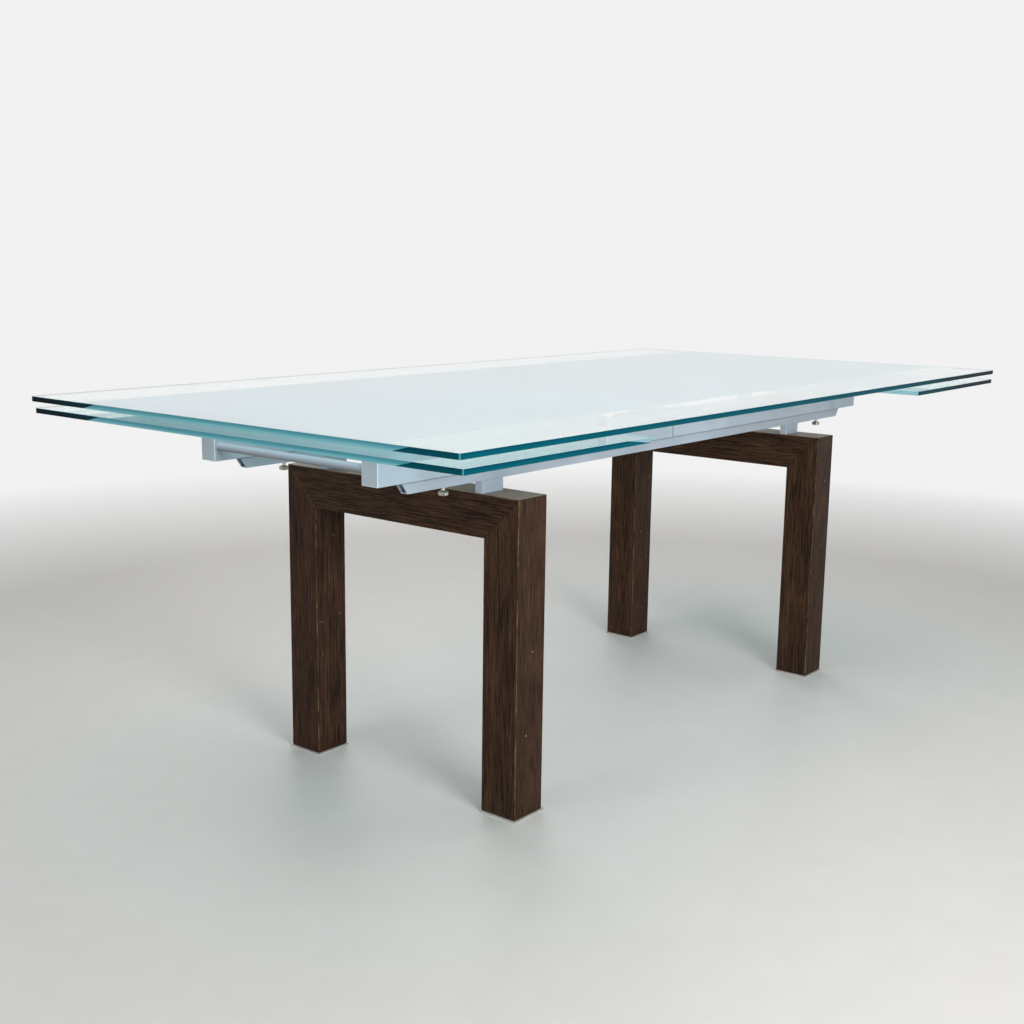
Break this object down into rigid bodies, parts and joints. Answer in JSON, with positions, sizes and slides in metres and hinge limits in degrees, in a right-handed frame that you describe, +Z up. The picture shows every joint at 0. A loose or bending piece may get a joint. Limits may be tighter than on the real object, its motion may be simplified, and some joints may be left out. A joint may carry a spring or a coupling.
{
  "type": "extendable dining table",
  "caption": "Glass dining table on two dark timber frames, with glass end leaves that slide out from under the top on rails.",
  "frame": {"origin": "on the floor, under the middle of the top, with both leaves stowed", "axes": "+X along the table, +Y towards the rear long side, +Z up"},
  "size_m": [2.075, 1.065, 0.75],
  "materials": {
    "glass": "clear green-edged float glass, frosted in the middle",
    "timber": "dark brown open-grain veneer, satin",
    "dowel_wood": "plain beech",
    "foot_metal": "satin",
    "rail_paint": "pale grey-blue satin powder coat",
    "cap_plastic": "pale grey, moulded",
    "nickel": "nickel plated, knurled",
    "steel": "zinc plated",
    "roller_plastic": "white acetal",
    "disc_metal": "satin"
  },
  "bodies": {
    "table": {"block_bolts": "steel", "cross_tie_left": "rail_paint", "cross_tie_right": "rail_paint", "crossbeam_left": "timber", "crossbeam_right": "timber", "foot_plate_front_left": "foot_metal", "foot_plate_front_right": "foot_metal", "foot_plate_rear_left": "foot_metal", "foot_plate_rear_right": "foot_metal", "foot_screws": "steel", "guide_rail_front": "rail_paint", "guide_rail_rear": "rail_paint", "leg_front_left": "timber", "leg_front_right": "timber", "leg_rear_left": "timber", "leg_rear_right": "timber", "mitre_dowels": "dowel_wood", "rail_block_front_left": "rail_paint", "rail_block_front_right": "rail_paint", "rail_block_rear_left": "rail_paint", "rail_block_rear_right": "rail_paint", "support_roller_studs": "steel", "thread_inserts": "steel", "top_bearer_left": "rail_paint", "top_bearer_right": "rail_paint", "top_glass": "glass", "top_glass_discs": "disc_metal", "top_support_posts": "rail_paint", "travel_stops": "roller_plastic"},
    "left_carriage": {"carriage_rail_front_left": "rail_paint", "carriage_rail_rear_left": "rail_paint", "carriage_roller_studs_left": "steel", "cross_tube_left": "rail_paint", "end_cap_front_left": "cap_plastic", "end_cap_rear_left": "cap_plastic", "leaf_discs_left": "disc_metal", "leaf_glass_left": "glass", "leaf_spacers_left": "disc_metal"},
    "right_carriage": {"carriage_rail_front_right": "rail_paint", "carriage_rail_rear_right": "rail_paint", "carriage_roller_studs_right": "steel", "cross_tube_right": "rail_paint", "end_cap_front_right": "cap_plastic", "end_cap_rear_right": "cap_plastic", "leaf_discs_right": "disc_metal", "leaf_glass_right": "glass", "leaf_spacers_right": "disc_metal"},
    "carriage_roller_front_left": {"carriage_roller_front_left": "roller_plastic"},
    "carriage_roller_front_right": {"carriage_roller_front_right": "roller_plastic"},
    "carriage_roller_rear_left": {"carriage_roller_rear_left": "roller_plastic"},
    "carriage_roller_rear_right": {"carriage_roller_rear_right": "roller_plastic"},
    "support_roller_front_left": {"support_roller_front_left": "roller_plastic"},
    "support_roller_front_right": {"support_roller_front_right": "roller_plastic"},
    "support_roller_rear_left": {"support_roller_rear_left": "roller_plastic"},
    "support_roller_rear_right": {"support_roller_rear_right": "roller_plastic"},
    "thumb_screw_front_left": {"thumb_screw_front_left": "nickel"},
    "thumb_screw_front_right": {"thumb_screw_front_right": "nickel"},
    "thumb_screw_rear_left": {"thumb_screw_rear_left": "nickel"},
    "thumb_screw_rear_right": {"thumb_screw_rear_right": "nickel"}
  },
  "joints": [
    {"name": "left_leaf_slide", "type": "slide", "parent": "table", "child": "left_carriage", "axis": [-1, 0, 0], "range_m": [0, 0.483]},
    {"name": "right_leaf_slide", "type": "slide", "parent": "table", "child": "right_carriage", "axis": [1, 0, 0], "range_m": [0, 0.483]},
    {"name": "support_roller_front_left_spin", "type": "hinge", "parent": "table", "child": "support_roller_front_left", "pos_m": [-0.802, -0.206, 0.676], "axis": [0, 1, 0], "range_deg": [-2130, 0]},
    {"name": "carriage_roller_front_left_spin", "type": "hinge", "parent": "left_carriage", "child": "carriage_roller_front_left", "pos_m": [-0.02, -0.206, 0.6682], "axis": [0, 1, 0], "range_deg": [0, 2130]},
    {"name": "thumb_screw_front_left_turn", "type": "hinge", "parent": "table", "child": "thumb_screw_front_left", "pos_m": [-0.708, -0.206, 0.606], "axis": [0, 0, -1], "range_deg": [0, 360]},
    {"name": "support_roller_front_right_spin", "type": "hinge", "parent": "table", "child": "support_roller_front_right", "pos_m": [0.802, -0.206, 0.676], "axis": [0, 1, 0], "range_deg": [0, 2130]},
    {"name": "carriage_roller_front_right_spin", "type": "hinge", "parent": "right_carriage", "child": "carriage_roller_front_right", "pos_m": [0.02, -0.206, 0.6682], "axis": [0, 1, 0], "range_deg": [-2130, 0]},
    {"name": "thumb_screw_front_right_turn", "type": "hinge", "parent": "table", "child": "thumb_screw_front_right", "pos_m": [0.708, -0.206, 0.606], "axis": [0, 0, -1], "range_deg": [0, 360]},
    {"name": "support_roller_rear_left_spin", "type": "hinge", "parent": "table", "child": "support_roller_rear_left", "pos_m": [-0.802, 0.206, 0.676], "axis": [0, 1, 0], "range_deg": [-2130, 0]},
    {"name": "carriage_roller_rear_left_spin", "type": "hinge", "parent": "left_carriage", "child": "carriage_roller_rear_left", "pos_m": [-0.02, 0.206, 0.6682], "axis": [0, 1, 0], "range_deg": [0, 2130]},
    {"name": "thumb_screw_rear_left_turn", "type": "hinge", "parent": "table", "child": "thumb_screw_rear_left", "pos_m": [-0.708, 0.206, 0.606], "axis": [0, 0, -1], "range_deg": [0, 360]},
    {"name": "support_roller_rear_right_spin", "type": "hinge", "parent": "table", "child": "support_roller_rear_right", "pos_m": [0.802, 0.206, 0.676], "axis": [0, 1, 0], "range_deg": [0, 2130]},
    {"name": "carriage_roller_rear_right_spin", "type": "hinge", "parent": "right_carriage", "child": "carriage_roller_rear_right", "pos_m": [0.02, 0.206, 0.6682], "axis": [0, 1, 0], "range_deg": [-2130, 0]},
    {"name": "thumb_screw_rear_right_turn", "type": "hinge", "parent": "table", "child": "thumb_screw_rear_right", "pos_m": [0.708, 0.206, 0.606], "axis": [0, 0, -1], "range_deg": [0, 360]}
  ],
  "couplings": [
    {"joint": "support_roller_front_left_spin", "follows": "left_leaf_slide", "rad_per_m": -76.923},
    {"joint": "carriage_roller_front_left_spin", "follows": "left_leaf_slide", "rad_per_m": 76.923},
    {"joint": "support_roller_front_right_spin", "follows": "right_leaf_slide", "rad_per_m": 76.923},
    {"joint": "carriage_roller_front_right_spin", "follows": "right_leaf_slide", "rad_per_m": -76.923},
    {"joint": "support_roller_rear_left_spin", "follows": "left_leaf_slide", "rad_per_m": -76.923},
    {"joint": "carriage_roller_rear_left_spin", "follows": "left_leaf_slide", "rad_per_m": 76.923},
    {"joint": "support_roller_rear_right_spin", "follows": "right_leaf_slide", "rad_per_m": 76.923},
    {"joint": "carriage_roller_rear_right_spin", "follows": "right_leaf_slide", "rad_per_m": -76.923}
  ]
}
